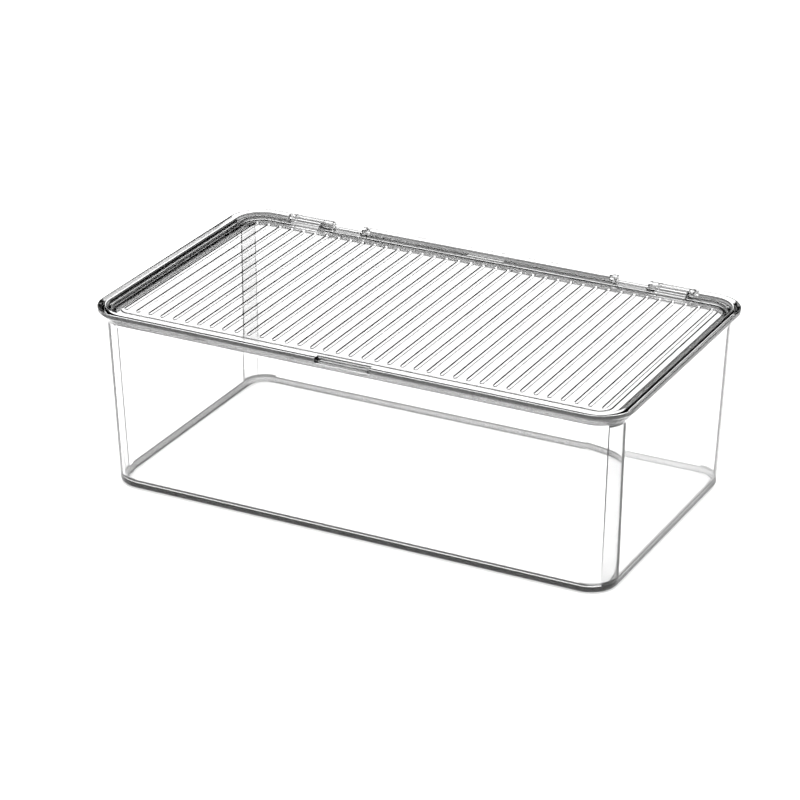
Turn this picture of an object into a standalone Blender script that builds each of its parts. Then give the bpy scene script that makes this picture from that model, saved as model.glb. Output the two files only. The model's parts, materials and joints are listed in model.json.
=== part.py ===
"""Clear fridge bin: a tapered tub with a seated, ribbed lid on two rear snap hinges.

Frame: origin under the middle of the base, +X to the right along the long side,
+Y to the rear (the hinge side), +Z up. Sizes are in metres. An inset is measured
inwards from the rim's outer edge, so a profile is a list of (inset, height) pairs.
"""
import math

import bmesh
import bpy

MM = 0.001

# Overall sizes
BIN_LENGTH = 275.0 * MM         # over the rim, along X
BIN_WIDTH = 157.0 * MM          # over the rim, along Y
BIN_HEIGHT = 93.0 * MM          # base to the top of the hinge ears
RIM_RADIUS = 17.5 * MM          # rim corner, seen from above

# Tub
BASE_INSET = 7.0 * MM           # rim edge to base edge, on every side
BASE_RADIUS = 14.0 * MM         # base corner, seen from above
BASE_FILLET = 2.5 * MM          # round where the wall meets the base
WALL = 2.0 * MM
FLOOR = 2.2 * MM
INNER_FILLET = 3.0 * MM         # round where the wall meets the floor
RIM_OVERHANG = 4.5 * MM         # rim edge to the wall just below the flare
RIM_DEPTH = 8.0 * MM            # rim top down to where the flare leaves the wall
LIP_FACE = 2.0 * MM             # upright outer face of the lip
LIP_UNDERCUT = 0.9 * MM         # inset of the lip's lower edge
LIP_CHAMFER = 1.0 * MM          # height of the slope under the lip's face
EDGE_ROUND = 0.6 * MM           # round on the lip's and the bead's edges
SEAT_DEPTH = 4.4 * MM           # rim top down to the ledge that carries the lid
LIP_WIDTH = 4.2 * MM            # outer to inner face of the lip

# Hinges: three ears, one pin and one lid barrel each, mirrored left and right
PIN_DIAMETER = 1.8 * MM
PIN_GAP = 0.3 * MM              # radial clearance of the pin in ears and barrel
EAR_WALL = 0.9 * MM             # material round the pin's seat in an ear
BARREL_WALL = 0.7 * MM          # material round the pin in the lid's barrel
STOP_WALL = 0.9 * MM            # lip left standing behind a barrel, which stops the lid
STOP_GAP = 0.3 * MM             # barrel to that wall
EAR_GAP = 0.5 * MM              # lid to ears, in front of and beside them
EAR_RISE = 1.0 * MM             # ear top above the rim
END_EAR_WIDTH = 2.2 * MM
MIDDLE_EAR_WIDTH = 5.0 * MM
HINGE_SETBACK = 49.2 * MM       # middle ear, from the rim's end
EAR_PITCH = 20.1 * MM           # middle ear to either end ear
BARREL_END_GAP = 0.35 * MM      # barrel end to the ear beside it
SNAP_SLOT = 0.8                 # mouth of an ear's seat, as a share of the pin
GUSSET_DROP = 4.5 * MM          # ear gusset below the ledge
CRADLE_DROP = 6.5 * MM          # thicker stretch of wall under the barrel
PIN_SHORTFALL = 0.6 * MM        # how far a pin stops short of the end ears' far faces
KNUCKLE_RISE = 1.5 * MM         # flat top of the lid's knuckle above the pin's axis
KNUCKLE_FLAT = 7.5 * MM         # inset where that flat top ends

# Lid
LID_GAP = 0.5 * MM              # lid edge to lip, all round
SEAT_GAP = 0.3 * MM             # lid underside to ledge
LID_THICKNESS = 1.6 * MM
BEAD_WIDTH = 2.3 * MM           # raised border of the lid
BEAD_RISE = 1.1 * MM            # border above the panel
CHANNEL_WIDTH = 4.0 * MM        # shallow channel inside the border
CHANNEL_DEPTH = 0.4 * MM
FIELD_MARGIN = 2.2 * MM         # channel to the sunk, ribbed field
FIELD_DEPTH = 0.2 * MM
SKIRT_GAP = 0.5 * MM            # skirt to the tub's inner wall
SKIRT_THICKNESS = 1.5 * MM
SKIRT_DEPTH = 2.9 * MM
RIB_PITCH = 6.66 * MM
RIB_WIDTH = 1.9 * MM
RIB_RISE = 0.6 * MM
RIB_END_MARGIN = 1.2 * MM       # edge of the ribbed field to the ribs' ends
RELIEF_WIDTH = 20.0 * MM        # gap in the lid's border, rear centre
RELIEF_DEPTH = 0.7 * MM

# Finger notch in the front of the rim, and the lid's tab that sits in it
NOTCH_WIDTH = 28.0 * MM
NOTCH_DEPTH = 3.2 * MM          # rim top down to the notch's floor
TAB_SIDE_GAP = 1.5 * MM
TAB_INSET = 1.0 * MM            # tab's free edge behind the rim's edge
TAB_THICKNESS = 1.0 * MM

# Mesh fineness
CORNER_STEPS = 12
FILLET_STEPS = 4
FLARE_STEPS = 6
PIN_STEPS = 20
SINK = 0.3 * MM                 # how far a joined shape is sunk into its neighbour
REACH = 2.0 * MM                # how far a cutter reaches past what it cuts

# Places worked out from the sizes above
RIM_TOP = BIN_HEIGHT - EAR_RISE
LEDGE = RIM_TOP - SEAT_DEPTH
FLARE_START = RIM_TOP - RIM_DEPTH
PIN_RADIUS = PIN_DIAMETER / 2
SEAT_RADIUS = PIN_RADIUS + PIN_GAP
EAR_RADIUS = SEAT_RADIUS + EAR_WALL
BARREL_RADIUS = SEAT_RADIUS + BARREL_WALL
LID_INSET = LIP_WIDTH + LID_GAP
AXIS_INSET = STOP_WALL + STOP_GAP + BARREL_RADIUS
AXIS_Y = BIN_WIDTH / 2 - AXIS_INSET
AXIS_Z = BIN_HEIGHT - EAR_RADIUS
LID_BOTTOM = LEDGE + SEAT_GAP
PANEL_TOP = LID_BOTTOM + LID_THICKNESS
BEAD_TOP = PANEL_TOP + BEAD_RISE
BEAD_END = LID_INSET + BEAD_WIDTH
CHANNEL_END = BEAD_END + CHANNEL_WIDTH
FIELD_INSET = CHANNEL_END + FIELD_MARGIN
FIELD_TOP = PANEL_TOP - FIELD_DEPTH
SKIRT_INSET = RIM_OVERHANG + WALL + SKIRT_GAP
HINGE_CENTRE = BIN_LENGTH / 2 - HINGE_SETBACK
RIB_COUNT = int((BIN_LENGTH - 2 * FIELD_INSET - RIB_WIDTH) / RIB_PITCH) + 1
EAR_PLACES = (
    (HINGE_CENTRE - EAR_PITCH, END_EAR_WIDTH),
    (HINGE_CENTRE, MIDDLE_EAR_WIDTH),
    (HINGE_CENTRE + EAR_PITCH, END_EAR_WIDTH),
)


def clear_scene():
    for obj in list(bpy.data.objects):
        bpy.data.objects.remove(obj, do_unlink=True)


def plastic(name, colour, roughness):
    """A clear moulded plastic with the given tint."""
    mat = bpy.data.materials.new(name)
    mat.use_nodes = True
    shader = mat.node_tree.nodes["Principled BSDF"]
    shader.inputs["Base Color"].default_value = colour
    shader.inputs["Roughness"].default_value = roughness
    shader.inputs["Metallic"].default_value = 0.0
    shader.inputs["Alpha"].default_value = colour[3]
    return mat


def add_object(name, bm, material=None, location=(0.0, 0.0, 0.0)):
    """Turn a bmesh in world coordinates into an object whose origin is at location."""
    bmesh.ops.translate(bm, verts=bm.verts, vec=[-value for value in location])
    bmesh.ops.recalc_face_normals(bm, faces=bm.faces)
    mesh = bpy.data.meshes.new(name)
    bm.to_mesh(mesh)
    bm.free()
    mesh.shade_smooth()
    mesh.set_sharp_from_angle(angle=math.radians(30))
    obj = bpy.data.objects.new(name, mesh)
    obj.location = location
    bpy.context.scene.collection.objects.link(obj)
    if material:
        mesh.materials.append(material)
    return obj


def add_cutter(name, bm):
    """A hidden guide shape that a Boolean modifier uses."""
    obj = add_object(name, bm)
    obj.hide_render = True
    obj.display_type = "WIRE"
    return obj


def apply_boolean(obj, cutter, operation):
    modifier = obj.modifiers.new(cutter.name, "BOOLEAN")
    modifier.operation = operation
    modifier.solver = "EXACT"
    modifier.object = cutter


def arc(centre, radius, start, end, steps=FILLET_STEPS):
    """Points on an arc; angles in degrees, 0 inwards (+inset), 90 upwards."""
    points = []
    for i in range(steps + 1):
        angle = math.radians(start + (end - start) * i / steps)
        points.append((centre[0] + radius * math.cos(angle), centre[1] + radius * math.sin(angle)))
    return points


def ring(bm, inset, height, radius):
    """One rounded rectangle of vertices, inset from the rim's edge."""
    half_x = BIN_LENGTH / 2 - inset
    half_y = BIN_WIDTH / 2 - inset
    verts = []
    for quarter, (side_x, side_y) in enumerate(((1, 1), (-1, 1), (-1, -1), (1, -1))):
        for i in range(CORNER_STEPS + 1):
            angle = math.radians(90 * (quarter + i / CORNER_STEPS))
            x = side_x * (half_x - radius) + radius * math.cos(angle)
            y = side_y * (half_y - radius) + radius * math.sin(angle)
            verts.append(bm.verts.new((x, y, height)))
    return verts


def join_rings(bm, first, second):
    """A band of quads between two rings."""
    following = zip(first, second, first[1:] + first[:1], second[1:] + second[:1])
    for low, high, next_low, next_high in following:
        bm.faces.new((low, next_low, next_high, high))


def shell_from_profile(profile):
    """A closed body whose section, all the way round, is the (inset, height, radius) profile."""
    bm = bmesh.new()
    rings = [ring(bm, *point) for point in profile]
    for first, second in zip(rings, rings[1:]):
        join_rings(bm, first, second)
    bm.faces.new(rings[0])
    bm.faces.new(rings[-1])
    return bm


def rim_radius(inset):
    """Corner radius of a ring that runs parallel to the rim's edge."""
    return RIM_RADIUS - inset


def wall_inset(height):
    """Outer face of the tapered wall."""
    return BASE_INSET + (RIM_OVERHANG - BASE_INSET) * height / FLARE_START


def wall_radius(height, depth):
    """Corner radius of the wall's outer face (depth 0) or of a face inside it."""
    top = rim_radius(RIM_OVERHANG)
    return BASE_RADIUS + (top - BASE_RADIUS) * min(height / FLARE_START, 1.0) - depth


def tub_outside():
    points = []
    for inset, height in arc((BASE_INSET + BASE_FILLET, BASE_FILLET), BASE_FILLET, 270, 180):
        points.append((inset, height, BASE_RADIUS - (inset - BASE_INSET)))
    points.append((RIM_OVERHANG, FLARE_START, rim_radius(RIM_OVERHANG)))
    flare_top = RIM_TOP - LIP_FACE - LIP_CHAMFER
    for i in range(1, FLARE_STEPS + 1):
        share = i / FLARE_STEPS
        inset = RIM_OVERHANG - (RIM_OVERHANG - LIP_UNDERCUT) * (1 - math.cos(share * math.pi / 2))
        points.append((inset, FLARE_START + (flare_top - FLARE_START) * share, rim_radius(inset)))
    points.append((0.0, RIM_TOP - LIP_FACE, rim_radius(0.0)))
    return points


def tub_lip():
    outer = arc((EDGE_ROUND, RIM_TOP - EDGE_ROUND), EDGE_ROUND, 180, 90)
    inner = arc((LIP_WIDTH - EDGE_ROUND, RIM_TOP - EDGE_ROUND), EDGE_ROUND, 90, 0)
    seat = [(LIP_WIDTH, LEDGE)]
    return [(inset, height, rim_radius(inset)) for inset, height in outer + inner + seat]


def tub_inside():
    ledge_edge = RIM_OVERHANG + WALL
    points = []
    for inset, height in arc((ledge_edge - EDGE_ROUND, LEDGE - EDGE_ROUND), EDGE_ROUND, 90, 0):
        points.append((inset, height, rim_radius(inset)))
    low = FLOOR + INNER_FILLET
    points.append((ledge_edge, FLARE_START, wall_radius(FLARE_START, WALL)))
    inset_low = wall_inset(low) + WALL
    for inset, height in arc((inset_low + INNER_FILLET, low), INNER_FILLET, 180, 270):
        points.append((inset, height, wall_radius(low, WALL) - (inset - inset_low)))
    return points


def add_box(bm, x_span, y_span, z_span):
    """An upright block between the given limits."""
    spans = (x_span, y_span, z_span)
    made = bmesh.ops.create_cube(bm, size=1.0)["verts"]
    bmesh.ops.scale(bm, verts=made, vec=[high - low for low, high in spans])
    bmesh.ops.translate(bm, verts=made, vec=[(low + high) / 2 for low, high in spans])
    return made


def add_prism(bm, outline, x_low, x_high):
    """An outline of (y, z) points pulled along X."""
    face = bm.faces.new([bm.verts.new((x_low, y, z)) for y, z in outline])
    pulled = bmesh.ops.extrude_face_region(bm, geom=[face])["geom"]
    moved = [item for item in pulled if isinstance(item, bmesh.types.BMVert)]
    bmesh.ops.translate(bm, verts=moved, vec=(x_high - x_low, 0.0, 0.0))


def mirrored_span(side, low, high):
    return (low, high) if side > 0 else (-high, -low)


def around_axis(radius, start, end, steps=PIN_STEPS):
    return arc((AXIS_Y, AXIS_Z), radius, start, end, steps)


def ear_outline():
    """Side view of an ear: round at the pin, with a gusset down to the rear wall."""
    rear = BIN_WIDTH / 2
    outline = around_axis(EAR_RADIUS, 180, 0)
    outline += [(rear, LEDGE), (rear - LIP_UNDERCUT, LEDGE - LIP_CHAMFER)]
    outline += [(rear - RIM_OVERHANG - SINK, LEDGE - GUSSET_DROP)]
    return outline + [(AXIS_Y - EAR_RADIUS, LEDGE - SINK)]


def cradle_outline():
    """Side view of the thicker stretch of wall that stands under the barrel."""
    rear = BIN_WIDTH / 2
    top = LEDGE
    wall_y = rear - RIM_OVERHANG - SINK
    return [
        (rear - LIP_UNDERCUT, top - LIP_CHAMFER),
        (wall_y, top - CRADLE_DROP),
        (wall_y, top - LIP_CHAMFER),
    ]


def seat_outline():
    """Keyhole that the pin snaps into: a round seat with a narrower mouth on top."""
    half_mouth = PIN_RADIUS * SNAP_SLOT
    mouth_angle = math.degrees(math.acos(half_mouth / SEAT_RADIUS))
    outline = around_axis(SEAT_RADIUS, mouth_angle, -180 - mouth_angle)
    top = BIN_HEIGHT + REACH
    return outline + [(AXIS_Y - half_mouth, top), (AXIS_Y + half_mouth, top)]


def rim_cuts():
    """Finger notch at the front, and the gaps beside each hinge's middle ear."""
    bm = bmesh.new()
    front = -BIN_WIDTH / 2
    half = NOTCH_WIDTH / 2
    top = RIM_TOP + REACH
    add_box(bm, (-half, half), (front - REACH, front + LID_INSET), (RIM_TOP - NOTCH_DEPTH, top))
    rear = BIN_WIDTH / 2
    inner, middle, outer = (place for place, width in EAR_PLACES)
    for side in (-1, 1):
        open_gap = mirrored_span(side, inner, middle - MIDDLE_EAR_WIDTH / 4)
        add_box(bm, open_gap, (rear - LID_INSET, rear + REACH), (LEDGE, top))
        walled_gap = mirrored_span(side, middle + MIDDLE_EAR_WIDTH / 4, outer)
        add_box(bm, walled_gap, (rear - LID_INSET, rear - STOP_WALL), (LEDGE, top))
    return add_cutter("rim_cuts", bm)


def hinge_ears():
    bm = bmesh.new()
    for side in (-1, 1):
        for centre, width in EAR_PLACES:
            low, high = mirrored_span(side, centre - width / 2, centre + width / 2)
            add_prism(bm, ear_outline(), low, high)
    return add_cutter("hinge_ears", bm)


def hinge_cradles():
    bm = bmesh.new()
    for side in (-1, 1):
        low, high = mirrored_span(side, EAR_PLACES[1][0], EAR_PLACES[2][0])
        add_prism(bm, cradle_outline(), low, high)
    return add_cutter("hinge_cradles", bm)


def pin_seats():
    bm = bmesh.new()
    for side in (-1, 1):
        inner = EAR_PLACES[0][0] - END_EAR_WIDTH / 2
        outer = EAR_PLACES[2][0] + END_EAR_WIDTH / 2
        low, high = mirrored_span(side, inner, outer)
        add_prism(bm, seat_outline(), low, high)
    return add_cutter("pin_seats", bm)


def make_tub(material):
    bm = shell_from_profile(tub_outside() + tub_lip() + tub_inside())
    tub = add_object("bin_tub", bm, material)
    apply_boolean(tub, rim_cuts(), "DIFFERENCE")
    apply_boolean(tub, hinge_cradles(), "UNION")
    apply_boolean(tub, hinge_ears(), "UNION")
    apply_boolean(tub, pin_seats(), "DIFFERENCE")
    return tub


def lid_profile():
    """From the ribbed field, out over the border, and back under to the middle."""
    edge = EDGE_ROUND
    points = [(FIELD_INSET + FIELD_DEPTH, FIELD_TOP), (FIELD_INSET, PANEL_TOP)]
    points += [(CHANNEL_END + CHANNEL_DEPTH, PANEL_TOP), (CHANNEL_END, PANEL_TOP - CHANNEL_DEPTH)]
    points += [(BEAD_END, PANEL_TOP - CHANNEL_DEPTH)]
    points += arc((BEAD_END - edge, BEAD_TOP - edge), edge, 0, 90)
    points += arc((LID_INSET + edge, BEAD_TOP - edge), edge, 90, 180)
    points += [(LID_INSET, LID_BOTTOM), (SKIRT_INSET, LID_BOTTOM)]
    points += [(SKIRT_INSET, LID_BOTTOM - SKIRT_DEPTH)]
    points += [(SKIRT_INSET + SKIRT_THICKNESS, LID_BOTTOM - SKIRT_DEPTH)]
    points += [(SKIRT_INSET + SKIRT_THICKNESS, LID_BOTTOM)]
    return [(inset, height, rim_radius(inset)) for inset, height in points]


def add_rib(bm, x):
    """One front-to-back rib with round ends, standing in the field."""
    half_run = BIN_WIDTH / 2 - FIELD_INSET - RIB_END_MARGIN - RIB_WIDTH / 2
    outline = arc((x, half_run), RIB_WIDTH / 2, 0, 180)
    outline += arc((x, -half_run), RIB_WIDTH / 2, 180, 360)
    face = bm.faces.new([bm.verts.new((px, py, FIELD_TOP - SINK)) for px, py in outline])
    pulled = bmesh.ops.extrude_face_region(bm, geom=[face])["geom"]
    moved = [item for item in pulled if isinstance(item, bmesh.types.BMVert)]
    bmesh.ops.translate(bm, verts=moved, vec=(0.0, 0.0, RIB_RISE + SINK))


def lid_ribs():
    bm = bmesh.new()
    for i in range(RIB_COUNT):
        add_rib(bm, (i - (RIB_COUNT - 1) / 2) * RIB_PITCH)
    return add_cutter("lid_ribs", bm)


def knuckle_outline():
    """Side view of a lid knuckle: the barrel, and the block that carries it on the lid."""
    rear = BIN_WIDTH / 2
    web_drop = BARREL_RADIUS - SINK
    top_angle = 180 - math.degrees(math.asin(KNUCKLE_RISE / BARREL_RADIUS))
    low_angle = -180 + math.degrees(math.asin(web_drop / BARREL_RADIUS))
    buried = PANEL_TOP - CHANNEL_DEPTH - SINK
    outline = around_axis(BARREL_RADIUS, top_angle, low_angle)
    outline += [(rear - LID_INSET - EDGE_ROUND, AXIS_Z - web_drop), (rear - BEAD_END, buried)]
    outline += [(rear - CHANNEL_END - SINK, buried), (rear - CHANNEL_END - SINK, PANEL_TOP)]
    return outline + [(rear - KNUCKLE_FLAT, AXIS_Z + KNUCKLE_RISE)]


def lid_additions():
    """Finger tab at the front, and the two hinge knuckles."""
    bm = bmesh.new()
    front = -BIN_WIDTH / 2
    half = NOTCH_WIDTH / 2 - TAB_SIDE_GAP
    top = BEAD_TOP - SINK
    tab_run = (front + TAB_INSET, front + LID_INSET + EDGE_ROUND)
    add_box(bm, (-half, half), tab_run, (top - TAB_THICKNESS, top))
    for side in (-1, 1):
        inner = EAR_PLACES[1][0] + MIDDLE_EAR_WIDTH / 2 + BARREL_END_GAP
        outer = EAR_PLACES[2][0] - END_EAR_WIDTH / 2 - BARREL_END_GAP
        add_prism(bm, knuckle_outline(), *mirrored_span(side, inner, outer))
    return add_cutter("lid_additions", bm)


def lid_slots():
    """Slots in the lid's edge that clear the ears, and the gap in the border's rear centre."""
    bm = bmesh.new()
    rear = BIN_WIDTH / 2
    slot_run = (rear - AXIS_INSET - EAR_RADIUS - EAR_GAP, rear)
    for side in (-1, 1):
        for centre, width in EAR_PLACES:
            half = width / 2 + BARREL_END_GAP
            span = mirrored_span(side, centre - half, centre + half)
            add_box(bm, span, slot_run, (LID_BOTTOM - REACH, BIN_HEIGHT + REACH))
    half = RELIEF_WIDTH / 2
    relief_run = (rear - BEAD_END - SINK, rear)
    add_box(bm, (-half, half), relief_run, (BEAD_TOP - RELIEF_DEPTH, BIN_HEIGHT + REACH))
    return add_cutter("lid_slots", bm)


def lid_bores():
    """The hole through each knuckle that the pin runs in."""
    bm = bmesh.new()
    for side in (-1, 1):
        circle = around_axis(SEAT_RADIUS, 0, 360)[:-1]
        add_prism(bm, circle, *mirrored_span(side, EAR_PLACES[1][0], EAR_PLACES[2][0]))
    return add_cutter("lid_bores", bm)


def make_lid(material):
    bm = shell_from_profile(lid_profile())
    lid = add_object("lid", bm, material, location=(0.0, AXIS_Y, AXIS_Z))
    apply_boolean(lid, lid_ribs(), "UNION")
    apply_boolean(lid, lid_additions(), "UNION")
    apply_boolean(lid, lid_slots(), "DIFFERENCE")
    apply_boolean(lid, lid_bores(), "DIFFERENCE")
    return lid


def make_pin(name, side, material):
    bm = bmesh.new()
    circle = around_axis(PIN_RADIUS, 0, 360)[:-1]
    inner = EAR_PLACES[0][0] - END_EAR_WIDTH / 2 + PIN_SHORTFALL
    outer = EAR_PLACES[2][0] + END_EAR_WIDTH / 2 - PIN_SHORTFALL
    low, high = mirrored_span(side, inner, outer)
    add_prism(bm, circle, low, high)
    centre = ((low + high) / 2, AXIS_Y, AXIS_Z)
    return add_object(name, bm, material, location=centre)


def main():
    clear_scene()
    tub_plastic = plastic("clear_pet_tub", (0.93, 0.95, 0.96, 0.25), 0.04)
    lid_plastic = plastic("clear_pet_lid", (0.93, 0.95, 0.96, 0.30), 0.05)
    pin_plastic = plastic("clear_pet_pin", (0.88, 0.90, 0.91, 0.45), 0.06)
    make_tub(tub_plastic)
    make_lid(lid_plastic)
    make_pin("hinge_pin_left", -1, pin_plastic)
    make_pin("hinge_pin_right", 1, pin_plastic)


main()
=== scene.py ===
"""Looks of the clear fridge bin: polished, injection-moulded PET on a pale studio floor.

Each CAD node is replaced by a finer mesh of the same size, with every moulded edge
rounded. Sizes are in metres. An inset is measured inwards from the rim's outer edge.
"""
import json
import math

import bmesh
import bpy
from mathutils import Matrix, Vector


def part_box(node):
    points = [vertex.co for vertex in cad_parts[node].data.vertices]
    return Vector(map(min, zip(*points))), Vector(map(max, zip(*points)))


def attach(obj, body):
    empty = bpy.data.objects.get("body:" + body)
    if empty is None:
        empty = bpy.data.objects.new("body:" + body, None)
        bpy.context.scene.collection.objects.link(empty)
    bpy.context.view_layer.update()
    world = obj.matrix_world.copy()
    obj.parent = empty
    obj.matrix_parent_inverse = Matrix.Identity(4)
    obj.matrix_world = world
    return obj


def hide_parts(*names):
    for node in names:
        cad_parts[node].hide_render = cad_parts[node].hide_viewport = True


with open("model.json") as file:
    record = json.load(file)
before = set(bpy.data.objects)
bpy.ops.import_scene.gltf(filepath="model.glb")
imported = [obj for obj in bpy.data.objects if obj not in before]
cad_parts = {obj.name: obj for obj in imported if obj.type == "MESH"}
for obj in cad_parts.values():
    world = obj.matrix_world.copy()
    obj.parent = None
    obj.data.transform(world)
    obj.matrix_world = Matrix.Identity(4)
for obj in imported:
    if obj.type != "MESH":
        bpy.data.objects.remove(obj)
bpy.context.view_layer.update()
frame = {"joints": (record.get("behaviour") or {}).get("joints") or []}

MM = 0.001

# Overall sizes, read from the frame
TUB_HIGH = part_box("bin_tub")[1]
HALF_X = TUB_HIGH.x
HALF_Y = TUB_HIGH.y
HINGE = frame["joints"][0]["pos_m"]
AXIS_Y, AXIS_Z = HINGE[1], HINGE[2]

# Tub mould
RIM_TOP = 92.0 * MM
RIM_RADIUS = 17.5 * MM
BASE_INSET = 7.0 * MM
BASE_RADIUS = 14.0 * MM
RIM_OVERHANG = 4.5 * MM
WALL_CORNER_LOW = 5.2 * MM
FLARE_START = 84.0 * MM
FLARE_END = 89.0 * MM
FLARE_STEPS = 8
LIP_UNDERCUT = 0.9 * MM
WALL = 2.0 * MM
FLOOR = 2.2 * MM
LIP_WIDTH = 4.2 * MM
LEDGE = 87.6 * MM
LIP_BOTTOM = 90.0 * MM
BASE_ROUND = 2.5 * MM
FLOOR_ROUND = 3.0 * MM
LEDGE_ROUND = 0.5 * MM
FLAT_RUN = 40 * MM

# Radii of the moulded edges, and how finely the arcs are divided
SOFT_EDGE = 0.6 * MM
EDGE = 0.4 * MM
CRISP_EDGE = 0.25 * MM
CORNER_STEPS = 24
FILLET_STEPS = 5

# Hinge
PIN_RADIUS = 0.9 * MM
SEAT_RADIUS = 1.2 * MM
EAR_RADIUS = 2.1 * MM
BARREL_RADIUS = 1.9 * MM
STOP_WALL = 0.9 * MM
EAR_GAP = 0.5 * MM
MOUTH_HALF = 0.72 * MM
GUSSET_DROP = 4.5 * MM
CRADLE_DROP = 6.5 * MM
KNUCKLE_RISE = 1.5 * MM
KNUCKLE_FLAT = 7.5 * MM
MIDDLE_EAR_WIDTH = 5.0 * MM
END_EAR_WIDTH = 2.2 * MM
BARREL_END_GAP = 0.35 * MM
EAR_PLACES = (
    (68.2 * MM, END_EAR_WIDTH),
    (88.3 * MM, MIDDLE_EAR_WIDTH),
    (108.4 * MM, END_EAR_WIDTH),
)
EAR_ROUND = 0.25 * MM
EAR_TUCK = 1.0 * MM
PIN_STEPS = 28

# Front notch and tab
NOTCH_HALF = 14.0 * MM
NOTCH_DEPTH = 3.2 * MM
TAB_HALF = 12.5 * MM
TAB_INSET = 1.0 * MM
TAB_THICKNESS = 1.0 * MM
RELIEF_HALF = 10.0 * MM
RELIEF_DEPTH = 0.7 * MM
REACH = 2.0 * MM

# Lid mould
LID_INSET = 4.7 * MM
LID_BOTTOM = 87.9 * MM
PANEL_TOP = 89.5 * MM
BEAD_TOP = 90.6 * MM
BEAD_END = 7.0 * MM
CHANNEL_END = 11.0 * MM
CHANNEL_FLOOR = 89.1 * MM
CHANNEL_SLOPE = 0.4 * MM
LID_FLAT_RUN = 2 * MM
FIELD_INSET = 13.2 * MM
FIELD_TOP = 89.2 * MM
SKIRT_INSET = 7.0 * MM
SKIRT_THICKNESS = 1.5 * MM
SKIRT_BOTTOM = 85.0 * MM
RIB_COUNT = 38
RIB_PITCH = 6.66 * MM
RIB_WIDTH = 1.9 * MM
RIB_RISE = 0.7 * MM
RIB_END_Y = 64.1 * MM
RIB_END_ROUNDNESS = 0.98
RIDGE_WIDTH = 0.4 * MM
HOLLOW_DEPTH = 0.4 * MM
SINK = 0.3 * MM

# Camera
CAMERA_AZIMUTH = 26.98
CAMERA_ELEVATION = 24.26
CAMERA_ROLL = -0.195
CAMERA_DISTANCE = 1.5539
CAMERA_LENS = 146.3
CAMERA_AIM = Vector((-0.0073, -0.0054, 0.0432))

# Light
FLOOR_DROP = 0.2 * MM
FLOOR_REACH = 3.0
SKY_STRENGTH = 3.5
BACKDROP_STRENGTH = 2.0

# The soft studio's brightness by height above the horizon, from 0 level to 1 overhead
STUDIO_TONES = (
    (0.0, "080808"), (0.25, "B0B0B0"), (0.35, "080808"), (0.60, "080808"), (0.75, "FFFFFF"),
)

# Plastic: its IOR, how much light it takes for each metre of depth in the walls, and the raised
# amount in their corners that paints shade there, the soft patches in its polish to the metre, its
# roughness, and the slant from which painted shade greys it and at which it is greyest
PET_IOR = 1.575
HAZE = 50.0
CORNER_SHADE_DENSITY = 250.0
POLISH_SCALE = 90.0
POLISH_LOW = 0.005
POLISH_HIGH = 0.02
PAINTED_SHADE_FROM = 0.64
PAINTED_SHADE_TO = 0.88

# Where each moulding gets painted shade on its edges: lowest and highest inset, lowest and highest height
TUB_EDGE_SHADE_ZONES = (
    (-0.1 * MM, 0.35 * MM, 90.2 * MM, 91.8 * MM),
    (3.9 * MM, 4.3 * MM, 88.0 * MM, 91.8 * MM),
    (6.9 * MM, 9.6 * MM, -0.1 * MM, 2.3 * MM),
    (9.0 * MM, 12.0 * MM, 2.2 * MM, 5.1 * MM),
)
LID_EDGE_SHADE_ZONES = (
    (4.6 * MM, 5.0 * MM, 88.0 * MM, 90.4 * MM),
    (6.9 * MM, 8.6 * MM, 84.9 * MM, 87.8 * MM),
    (6.9 * MM, 7.1 * MM, 89.1 * MM, 90.4 * MM),
)


def srgb(hex_colour):
    """An sRGB hex colour such as "F4F7F8" as linear RGBA."""
    channels = [int(hex_colour[i:i + 2], 16) / 255 for i in (0, 2, 4)]
    return [c / 12.92 if c <= 0.04045 else ((c + 0.055) / 1.055) ** 2.4 for c in channels] + [1.0]


def add_node(tree, kind, settings=None, inputs=None, links=None):
    """One node with its settings, its input values and the sockets linked into it."""
    node = tree.nodes.new(kind)
    for name, value in (settings or {}).items():
        setattr(node, name, value)
    for name, value in (inputs or {}).items():
        node.inputs[name].default_value = value
    for name, socket in (links or {}).items():
        tree.links.new(socket, node.inputs[name])
    return node


def empty_material(name):
    """A material with an empty node tree, and that tree."""
    material = bpy.data.materials.new(name)
    material.use_nodes = True
    material.node_tree.nodes.clear()
    return material, material.node_tree


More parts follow.
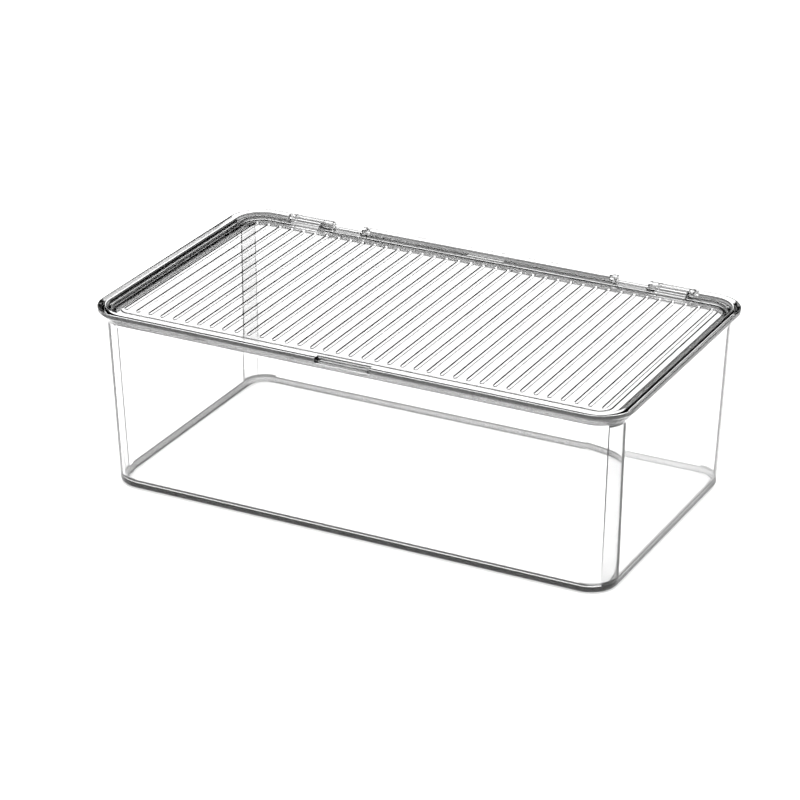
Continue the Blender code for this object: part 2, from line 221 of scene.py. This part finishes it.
def clear_pet(name, tint, edge_on_shade_colour, haze=HAZE):
    """Injection-moulded PET, about 1.575 in IOR and polished by the mould.

    It is glass-clear face on, with painted shade greying its colour where it is seen edge on.
    The soft patches of its polish are about 11 mm across. Lamps pass through it, so it throws no shadow.
    """
    material, tree = empty_material(name)
    place = add_node(tree, "ShaderNodeTexCoord")
    polish = add_node(
        tree, "ShaderNodeTexNoise",
        inputs={"Scale": POLISH_SCALE, "Detail": 3.0, "Roughness": 0.55},
        links={"Vector": place.outputs["Object"]},
    )
    roughness = add_node(
        tree, "ShaderNodeMapRange",
        inputs={"To Min": POLISH_LOW, "To Max": POLISH_HIGH},
        links={"Value": polish.outputs["Fac"]},
    )
    slant = add_node(tree, "ShaderNodeLayerWeight", inputs={"Blend": 0.5})
    # Painted shade: the base colour turns from tint to the edge-on shade colour as the surface is seen
    # more edge on
    painted_edge_on_shade = add_node(tree, "ShaderNodeValToRGB", links={"Fac": slant.outputs["Facing"]})
    painted_edge_on_shade.color_ramp.elements[0].position = PAINTED_SHADE_FROM
    painted_edge_on_shade.color_ramp.elements[0].color = srgb(tint)
    painted_edge_on_shade.color_ramp.elements[1].position = PAINTED_SHADE_TO
    painted_edge_on_shade.color_ramp.elements[1].color = srgb(edge_on_shade_colour)
    shader = add_node(
        tree, "ShaderNodeBsdfPrincipled",
        inputs={"Transmission Weight": 1.0, "IOR": PET_IOR},
        links={"Roughness": roughness.outputs["Result"], "Base Color": painted_edge_on_shade.outputs["Color"]},
    )
    unshaded = add_node(tree, "ShaderNodeBsdfTransparent", inputs={"Color": srgb("F8F8F8")})
    path = add_node(tree, "ShaderNodeLightPath")
    lamps_pass = add_node(
        tree, "ShaderNodeMixShader",
        links={0: path.outputs["Is Shadow Ray"], 1: shader.outputs["BSDF"], 2: unshaded.outputs["BSDF"]},
    )
    depth = add_node(
        tree, "ShaderNodeVolumeAbsorption",
        inputs={"Color": (0.5, 0.5, 0.5, 1.0), "Density": haze},
    )
    add_node(
        tree, "ShaderNodeOutputMaterial",
        links={"Surface": lamps_pass.outputs["Shader"], "Volume": depth.outputs["Volume"]},
    )
    return material


def matt_white_sheet():
    """White card, uncoated: an even white with no gloss."""
    material, tree = empty_material("matt_white_sheet")
    shader = add_node(
        tree, "ShaderNodeBsdfPrincipled",
        inputs={"Base Color": srgb("F4F4F4"), "Roughness": 0.9, "Specular IOR Level": 0.0},
    )
    add_node(tree, "ShaderNodeOutputMaterial", links={"Surface": shader.outputs["BSDF"]})
    return material


# ---------------------------------------------------------------- shapes


def corner_radius(inset, height):
    """Plan radius of the tub's and the lid's corners, which taper with the walls."""
    centre_low = BASE_INSET + BASE_RADIUS
    share = min(height / FLARE_START, 1.0)
    return centre_low + (RIM_RADIUS - centre_low) * share - inset


def ring(bm, inset, height):
    """A face in the shape of a rounded rectangle, all by itself."""
    others = set(bm.faces)
    corners = bmesh.ops.create_grid(bm, x_segments=1, y_segments=1, size=1.0)["verts"]
    bmesh.ops.scale(bm, verts=corners, vec=(HALF_X - inset, HALF_Y - inset, 1.0))
    bmesh.ops.translate(bm, verts=corners, vec=(0.0, 0.0, height))
    bmesh.ops.bevel(
        bm, geom=corners, offset=corner_radius(inset, height), offset_type="OFFSET",
        segments=CORNER_STEPS, profile=0.5, affect="VERTICES", material=-1,
    )
    return next(face for face in bm.faces if face not in others)


def shell(profile):
    """A closed body that has the (inset, height) profile all the way round.

    Each new ring is bridged from high above and then lowered, because two loops in one
    plane would be joined with a twist.
    """
    bm = bmesh.new()
    lift = 1.0
    last_edges = list(ring(bm, *profile[0]).edges)
    for inset, height in profile[1:]:
        face = ring(bm, inset, height)
        edges, verts = list(face.edges), list(face.verts)
        if (inset, height) != profile[-1]:
            bmesh.ops.delete(bm, geom=[face], context="FACES_ONLY")
        bmesh.ops.translate(bm, verts=verts, vec=(0.0, 0.0, lift))
        bmesh.ops.bridge_loops(bm, edges=last_edges + edges)
        bmesh.ops.translate(bm, verts=verts, vec=(0.0, 0.0, -lift))
        last_edges = edges
    return bm


def rounded(points):
    """Swap each (inset, height, radius) corner of a profile for a small arc."""
    path = [points[0][:2]]
    for before, here, after in zip(points, points[1:], points[2:]):
        if not here[2]:
            path.append(here[:2])
            continue
        corner = Vector(here[:2])
        back = (Vector(before[:2]) - corner).normalized()
        on = (Vector(after[:2]) - corner).normalized()
        half_angle = back.angle(on) / 2
        run = here[2] / math.tan(half_angle)
        centre = corner + (back + on).normalized() * (here[2] / math.sin(half_angle))
        start = corner + back * run - centre
        turn = start.angle_signed(corner + on * run - centre)
        for i in range(FILLET_STEPS + 1):
            path.append(tuple(centre + Matrix.Rotation(-turn * i / FILLET_STEPS, 2) @ start))
    path.append(points[-1][:2])
    return path


def to_object(name, bm, material=None):
    bmesh.ops.recalc_face_normals(bm, faces=bm.faces)
    mesh = bpy.data.meshes.new(name)
    bm.to_mesh(mesh)
    bm.free()
    obj = bpy.data.objects.new(name, mesh)
    bpy.context.scene.collection.objects.link(obj)
    if material:
        mesh.materials.append(material)
    return obj


def cut_or_join(obj, tool, operation):
    """Apply a Boolean with a tool object, which is then deleted."""
    modifier = obj.modifiers.new(tool.name, "BOOLEAN")
    modifier.operation = operation
    modifier.solver = "EXACT"
    modifier.object = tool
    graph = bpy.context.evaluated_depsgraph_get()
    mesh = bpy.data.meshes.new_from_object(obj.evaluated_get(graph))
    obj.modifiers.clear()
    obj.data = mesh
    bpy.data.objects.remove(tool, do_unlink=True)


def finish_surface(obj):
    """Shade the arcs smooth and keep the flats flat."""
    obj.data.shade_smooth()
    obj.data.set_sharp_from_angle(angle=math.radians(40))
    weighted = obj.modifiers.new("flat_faces_stay_flat", "WEIGHTED_NORMAL")
    weighted.mode = "FACE_AREA"
    weighted.keep_sharp = True


def tub_profile():
    """The tub's (inset, height, edge radius) corners, from under its base to its floor."""
    inner_top = RIM_OVERHANG + WALL
    inner_low = BASE_INSET + WALL
    flare = []
    for i in range(FLARE_STEPS + 1):
        share = i / FLARE_STEPS
        bulge = (RIM_OVERHANG - LIP_UNDERCUT) * (1 - math.cos(share * math.pi / 2))
        flare.append((RIM_OVERHANG - bulge, FLARE_START + (FLARE_END - FLARE_START) * share, 0.0))
    return rounded([
        (BASE_INSET + FLAT_RUN, 0.0, 0.0),
        (BASE_INSET, 0.0, BASE_ROUND),
        *flare,
        (0.0, LIP_BOTTOM, EDGE),
        (0.0, RIM_TOP, SOFT_EDGE),
        (LIP_WIDTH, RIM_TOP, SOFT_EDGE),
        (LIP_WIDTH, LEDGE, EDGE),
        (inner_top, LEDGE, LEDGE_ROUND),
        (inner_low, FLOOR, FLOOR_ROUND),
        (inner_low + FLAT_RUN, FLOOR, 0.0),
    ])


def lid_profile():
    """The lid's (inset, height, edge radius) corners, from its ribbed field to its underside."""
    skirt_end = SKIRT_INSET + SKIRT_THICKNESS
    return rounded([
        (FIELD_INSET + LID_FLAT_RUN, FIELD_TOP, 0.0),
        (FIELD_INSET, FIELD_TOP, 0.12 * MM),
        (FIELD_INSET - 0.1 * MM, PANEL_TOP, 0.05 * MM),
        (CHANNEL_END + CHANNEL_SLOPE, PANEL_TOP, CRISP_EDGE),
        (CHANNEL_END, CHANNEL_FLOOR, CRISP_EDGE),
        (BEAD_END, CHANNEL_FLOOR, 0.3 * MM),
        (BEAD_END, BEAD_TOP, 0.5 * MM),
        (LID_INSET, BEAD_TOP, SOFT_EDGE),
        (LID_INSET, LID_BOTTOM, 0.3 * MM),
        (SKIRT_INSET, LID_BOTTOM, 0.2 * MM),
        (SKIRT_INSET, SKIRT_BOTTOM, EDGE),
        (skirt_end, SKIRT_BOTTOM, EDGE),
        (skirt_end, LID_BOTTOM, EDGE),
        (skirt_end + LID_FLAT_RUN, LID_BOTTOM, 0.0),
    ])


def add_rib(bm, x):
    """One rib with round ends, and a shallow hollow along its crown between two fine ridges."""
    others = set(bm.faces)
    made = bmesh.ops.create_grid(bm, x_segments=1, y_segments=1, size=1.0)["verts"]
    bmesh.ops.scale(bm, verts=made, vec=(RIB_WIDTH / 2, RIB_END_Y, 1.0))
    bmesh.ops.translate(bm, verts=made, vec=(x, 0.0, FIELD_TOP - SINK))
    bmesh.ops.bevel(
        bm, geom=made, offset=RIB_WIDTH / 2 * RIB_END_ROUNDNESS, offset_type="OFFSET",
        segments=5, profile=0.5, affect="VERTICES", material=-1,
    )
    face = next(face for face in bm.faces if face not in others)
    pulled = bmesh.ops.extrude_face_region(bm, geom=[face])["geom"]
    top = next(item for item in pulled if isinstance(item, bmesh.types.BMFace))
    bmesh.ops.translate(bm, verts=top.verts, vec=(0.0, 0.0, RIB_RISE + SINK))
    bmesh.ops.inset_individual(bm, faces=[top], thickness=RIDGE_WIDTH, depth=0.0)
    bmesh.ops.translate(bm, verts=top.verts, vec=(0.0, 0.0, -HOLLOW_DEPTH))


# ---------------------------------------------------------------- hinge and notch


def block(bm, x_span, y_span, z_span, edge_round=0.0):
    """An upright block between the given limits, its edges rounded if asked."""
    spans = (x_span, y_span, z_span)
    made = bmesh.ops.create_cube(bm, size=1.0)["verts"]
    bmesh.ops.scale(bm, verts=made, vec=[high - low for low, high in spans])
    bmesh.ops.translate(bm, verts=made, vec=[(low + high) / 2 for low, high in spans])
    if edge_round:
        edges = {edge for vert in made for edge in vert.link_edges}
        bmesh.ops.bevel(
            bm, geom=list(edges), offset=edge_round, offset_type="OFFSET",
            segments=3, profile=0.5, affect="EDGES", material=-1,
        )


def prism(bm, outline, x_low, x_high, edge_round=0.0):
    """An outline of (y, z) points pulled along X, with its two ends' edges rounded if asked."""
    face = bm.faces.new([bm.verts.new((x_low, y, z)) for y, z in outline])
    rims = list(face.edges)
    pulled = bmesh.ops.extrude_face_region(bm, geom=[face])["geom"]
    moved = [item for item in pulled if isinstance(item, bmesh.types.BMVert)]
    rims += [item for item in pulled if isinstance(item, bmesh.types.BMEdge)]
    bmesh.ops.translate(bm, verts=moved, vec=(x_high - x_low, 0.0, 0.0))
    if edge_round:
        bmesh.ops.bevel(
            bm, geom=rims, offset=edge_round, offset_type="OFFSET",
            segments=3, profile=0.5, affect="EDGES", material=-1,
        )


def mirrored(side, low, high):
    """The (low, high) limits along X on the right, or their mirror image on the left."""
    return (low, high) if side > 0 else (-high, -low)


def around_axis(radius, start, end):
    """Points on a circle about the hinge's axis, from one angle to another in degrees."""
    points = []
    for i in range(PIN_STEPS + 1):
        angle = math.radians(start + (end - start) * i / PIN_STEPS)
        points.append((AXIS_Y + radius * math.cos(angle), AXIS_Z + radius * math.sin(angle)))
    return points


def ear_outline():
    """Hinge ear with a round top, and a gusset that runs down into the rim's flare."""
    outline = around_axis(EAR_RADIUS, 180, 0)
    outline += [(HALF_Y, LEDGE), (HALF_Y - LIP_UNDERCUT, LEDGE - EAR_TUCK)]
    outline += [(HALF_Y - RIM_OVERHANG - SINK, LEDGE - GUSSET_DROP)]
    return outline + [(AXIS_Y - EAR_RADIUS, LEDGE - SINK)]


def cradle_outline():
    """Wedge behind the flare, under the lid's barrel."""
    wall_y = HALF_Y - RIM_OVERHANG - SINK
    low = LEDGE - EAR_TUCK
    return [(HALF_Y - LIP_UNDERCUT, low), (wall_y, LEDGE - CRADLE_DROP), (wall_y, low)]


def seat_outline():
    """Keyhole that the pin snaps into: a round seat with a narrower mouth on top."""
    mouth_angle = math.degrees(math.acos(MOUTH_HALF / SEAT_RADIUS))
    outline = around_axis(SEAT_RADIUS, mouth_angle, -180 - mouth_angle)
    top = RIM_TOP + 2 * REACH
    return outline + [(AXIS_Y - MOUTH_HALF, top), (AXIS_Y + MOUTH_HALF, top)]


def knuckle_outline():
    """The lid's barrel, with the web that joins it to the border."""
    web_drop = BARREL_RADIUS - SINK
    top_angle = 180 - math.degrees(math.asin(KNUCKLE_RISE / BARREL_RADIUS))
    low_angle = -180 + math.degrees(math.asin(web_drop / BARREL_RADIUS))
    buried = CHANNEL_FLOOR - SINK
    outline = around_axis(BARREL_RADIUS, top_angle, low_angle)
    outline += [(HALF_Y - LID_INSET - SOFT_EDGE, AXIS_Z - web_drop), (HALF_Y - BEAD_END, buried)]
    outline += [(HALF_Y - CHANNEL_END - SINK, buried), (HALF_Y - CHANNEL_END - SINK, PANEL_TOP)]
    return outline + [(HALF_Y - KNUCKLE_FLAT, AXIS_Z + KNUCKLE_RISE)]


def cut_rim(tub):
    """Finger notch at the front, and the gaps beside each hinge's middle ear."""
    bm = bmesh.new()
    top = RIM_TOP + REACH
    notch_run = (-HALF_Y - REACH, -HALF_Y + LID_INSET)
    block(bm, (-NOTCH_HALF, NOTCH_HALF), notch_run, (RIM_TOP - NOTCH_DEPTH, top))
    inner, middle, outer = (place for place, width in EAR_PLACES)
    inside_ear = MIDDLE_EAR_WIDTH / 4
    for side in (-1, 1):
        open_gap = mirrored(side, inner, middle - inside_ear)
        block(bm, open_gap, (HALF_Y - LID_INSET, HALF_Y + REACH), (LEDGE, top))
        walled_gap = mirrored(side, middle + inside_ear, outer)
        block(bm, walled_gap, (HALF_Y - LID_INSET, HALF_Y - STOP_WALL), (LEDGE, top))
    cut_or_join(tub, to_object("rim_gaps", bm), "DIFFERENCE")


def add_ears(tub):
    cradles, ears, seats = bmesh.new(), bmesh.new(), bmesh.new()
    for side in (-1, 1):
        prism(cradles, cradle_outline(), *mirrored(side, EAR_PLACES[1][0], EAR_PLACES[2][0]))
        for centre, width in EAR_PLACES:
            prism(ears, ear_outline(), *mirrored(side, centre - width / 2, centre + width / 2), EAR_ROUND)
        inner = EAR_PLACES[0][0] - END_EAR_WIDTH / 2 - REACH
        outer = EAR_PLACES[2][0] + END_EAR_WIDTH / 2 + REACH
        prism(seats, seat_outline(), *mirrored(side, inner, outer))
    cut_or_join(tub, to_object("wall_under_barrels", cradles), "UNION")
    cut_or_join(tub, to_object("ears", ears), "UNION")
    cut_or_join(tub, to_object("pin_seats", seats), "DIFFERENCE")


def add_tab_and_knuckles(lid):
    bm = bmesh.new()
    top = BEAD_TOP - SINK
    tab_run = (-HALF_Y + TAB_INSET, -HALF_Y + LID_INSET + SOFT_EDGE)
    block(bm, (-TAB_HALF, TAB_HALF), tab_run, (top - TAB_THICKNESS, top), EAR_ROUND)
    inner = EAR_PLACES[1][0] + MIDDLE_EAR_WIDTH / 2 + BARREL_END_GAP
    outer = EAR_PLACES[2][0] - END_EAR_WIDTH / 2 - BARREL_END_GAP
    for side in (-1, 1):
        prism(bm, knuckle_outline(), *mirrored(side, inner, outer), EAR_ROUND)
    cut_or_join(lid, to_object("tab_and_knuckles", bm), "UNION")


def cut_lid(lid):
    """Slots that clear the ears, the gap in the rear border, and the pins' bores."""
    slots, bores = bmesh.new(), bmesh.new()
    slot_run = (AXIS_Y - EAR_RADIUS - EAR_GAP, HALF_Y)
    above = RIM_TOP + 2 * REACH
    slot_rise = (LID_BOTTOM - REACH, above)
    for side in (-1, 1):
        for centre, width in EAR_PLACES:
            half = width / 2 + BARREL_END_GAP
            block(slots, mirrored(side, centre - half, centre + half), slot_run, slot_rise)
        bore = around_axis(SEAT_RADIUS, 0, 360)[:-1]
        prism(bores, bore, *mirrored(side, EAR_PLACES[1][0], EAR_PLACES[2][0]))
    relief_run = (HALF_Y - BEAD_END - SINK, HALF_Y)
    block(slots, (-RELIEF_HALF, RELIEF_HALF), relief_run, (BEAD_TOP - RELIEF_DEPTH, above))
    cut_or_join(lid, to_object("ear_slots", slots), "DIFFERENCE")
    cut_or_join(lid, to_object("bores", bores), "DIFFERENCE")


def make_pins(material):
    for node in ("hinge_pin_left", "hinge_pin_right"):
        low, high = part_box(node)
        bm = bmesh.new()
        prism(bm, around_axis(PIN_RADIUS, 0, 360)[:-1], low.x, high.x, EAR_ROUND)
        pin = to_object(node + "_round", bm, material)
        finish_surface(pin)
        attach(pin, "bin")
        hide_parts(node)


def make_lid(material, edge_shade_material):
    lid = to_object("ribbed_lid", shell(lid_profile()), material)
    ribs = bmesh.new()
    for i in range(RIB_COUNT):
        add_rib(ribs, (i - (RIB_COUNT - 1) / 2) * RIB_PITCH)
    cut_or_join(lid, to_object("ribs", ribs), "UNION")
    add_tab_and_knuckles(lid)
    cut_lid(lid)
    finish_surface(lid)
    paint_edge_shade(lid, edge_shade_material, LID_EDGE_SHADE_ZONES)
    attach(lid, "cover")
    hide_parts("lid")


def rim_inset(point):
    """How far a point lies inside the rim's outline, which has round corners."""
    past_x = abs(point.x) - HALF_X + RIM_RADIUS
    past_y = abs(point.y) - HALF_Y + RIM_RADIUS
    if past_x > 0 and past_y > 0:
        return RIM_RADIUS - math.hypot(past_x, past_y)
    return RIM_RADIUS - max(past_x, past_y)


def paint_edge_shade(obj, material, zones):
    """Give faces in the (inset low, high, height low, high) zones the painted edge shade's grey material.
    """
    obj.data.materials.append(material)
    for face in obj.data.polygons:
        inset, height = rim_inset(face.center), face.center.z
        if any(a < inset < b and c < height < d for a, b, c, d in zones):
            face.material_index = 1


def paint_corner_shade(obj, material):
    """Give each round corner of the walls, on its side wall's half, a material of its own, darker as
    painted shade.
    """
    obj.data.materials.append(material)
    for face in obj.data.polygons:
        x, y, height = face.center
        centre = corner_radius(0.0, height)
        past_x, past_y = abs(x) - HALF_X + centre, abs(y) - HALF_Y + centre
        if past_x > past_y > 0 and WALL_CORNER_LOW < height < FLARE_START:
            face.material_index = 2


def make_tub(material, edge_shade_material, corner_shade_material):
    tub = to_object("clear_tub", shell(tub_profile()), material)
    cut_rim(tub)
    add_ears(tub)
    finish_surface(tub)
    paint_edge_shade(tub, edge_shade_material, TUB_EDGE_SHADE_ZONES)
    paint_corner_shade(tub, corner_shade_material)
    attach(tub, "bin")
    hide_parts("bin_tub")


def make_floor():
    bm = bmesh.new()
    corners = bmesh.ops.create_grid(bm, x_segments=1, y_segments=1, size=FLOOR_REACH)["verts"]
    bmesh.ops.translate(bm, verts=corners, vec=(0.0, 0.0, -FLOOR_DROP))
    to_object("studio_floor", bm, matt_white_sheet())


def make_light():
    """A white overhead dome with a paler band near the horizon, in front of a white backdrop."""
    world = bpy.data.worlds.new("soft_studio")
    world.use_nodes = True
    tree = world.node_tree
    tree.nodes.clear()
    place = add_node(tree, "ShaderNodeTexCoord")
    split = add_node(tree, "ShaderNodeSeparateXYZ", links={"Vector": place.outputs["Generated"]})
    ramp = add_node(tree, "ShaderNodeValToRGB", links={"Fac": split.outputs["Z"]})
    ramp.color_ramp.elements.remove(ramp.color_ramp.elements[1])
    ramp.color_ramp.elements[0].color = srgb(STUDIO_TONES[0][1])
    for height, tone in STUDIO_TONES[1:]:
        ramp.color_ramp.elements.new(height).color = srgb(tone)
    sky = add_node(
        tree, "ShaderNodeBackground",
        inputs={"Strength": SKY_STRENGTH}, links={"Color": ramp.outputs["Color"]},
    )
    backdrop = add_node(
        tree, "ShaderNodeBackground", inputs={"Color": srgb("FFFFFF"), "Strength": BACKDROP_STRENGTH},
    )
    path = add_node(tree, "ShaderNodeLightPath")
    seen = add_node(
        tree, "ShaderNodeMixShader",
        links={
            0: path.outputs["Is Camera Ray"],
            1: sky.outputs["Background"], 2: backdrop.outputs["Background"],
        },
    )
    add_node(tree, "ShaderNodeOutputWorld", links={"Surface": seen.outputs["Shader"]})
    bpy.context.scene.world = world
    bpy.context.scene.view_settings.view_transform = "Standard"


def make_camera():
    data = bpy.data.cameras.new("camera")
    data.lens = CAMERA_LENS
    camera = bpy.data.objects.new("camera", data)
    bpy.context.scene.collection.objects.link(camera)
    azimuth, elevation = math.radians(CAMERA_AZIMUTH), math.radians(CAMERA_ELEVATION)
    back = Vector((
        math.sin(azimuth) * math.cos(elevation),
        -math.cos(azimuth) * math.cos(elevation),
        math.sin(elevation),
    ))
    camera.location = CAMERA_AIM + back * CAMERA_DISTANCE
    turn = back.to_track_quat("Z", "Y").to_matrix() @ Matrix.Rotation(math.radians(-CAMERA_ROLL), 3, "Z")
    camera.rotation_euler = turn.to_euler()
    bpy.context.scene.camera = camera


make_camera()
make_light()
make_floor()
# Painted shade: the mouldings' edges get a material that is grey from any side
edge_shade_pet = clear_pet("clear_pet_painted_edge_shade", "9C9C9C", "404040")
# Painted shade: the walls' round corners grey more when seen edge on and take up more light than the
# walls
corner_shade_pet = clear_pet("clear_pet_painted_corner_shade", "FCFCFC", "202020", CORNER_SHADE_DENSITY)
make_tub(clear_pet("clear_pet_tub", "FCFCFC", "505050"), edge_shade_pet, corner_shade_pet)
make_lid(clear_pet("clear_pet_lid", "FCFCFC", "505050"), edge_shade_pet)
make_pins(clear_pet("clear_pet_pins", "F0F0F0", "606060"))
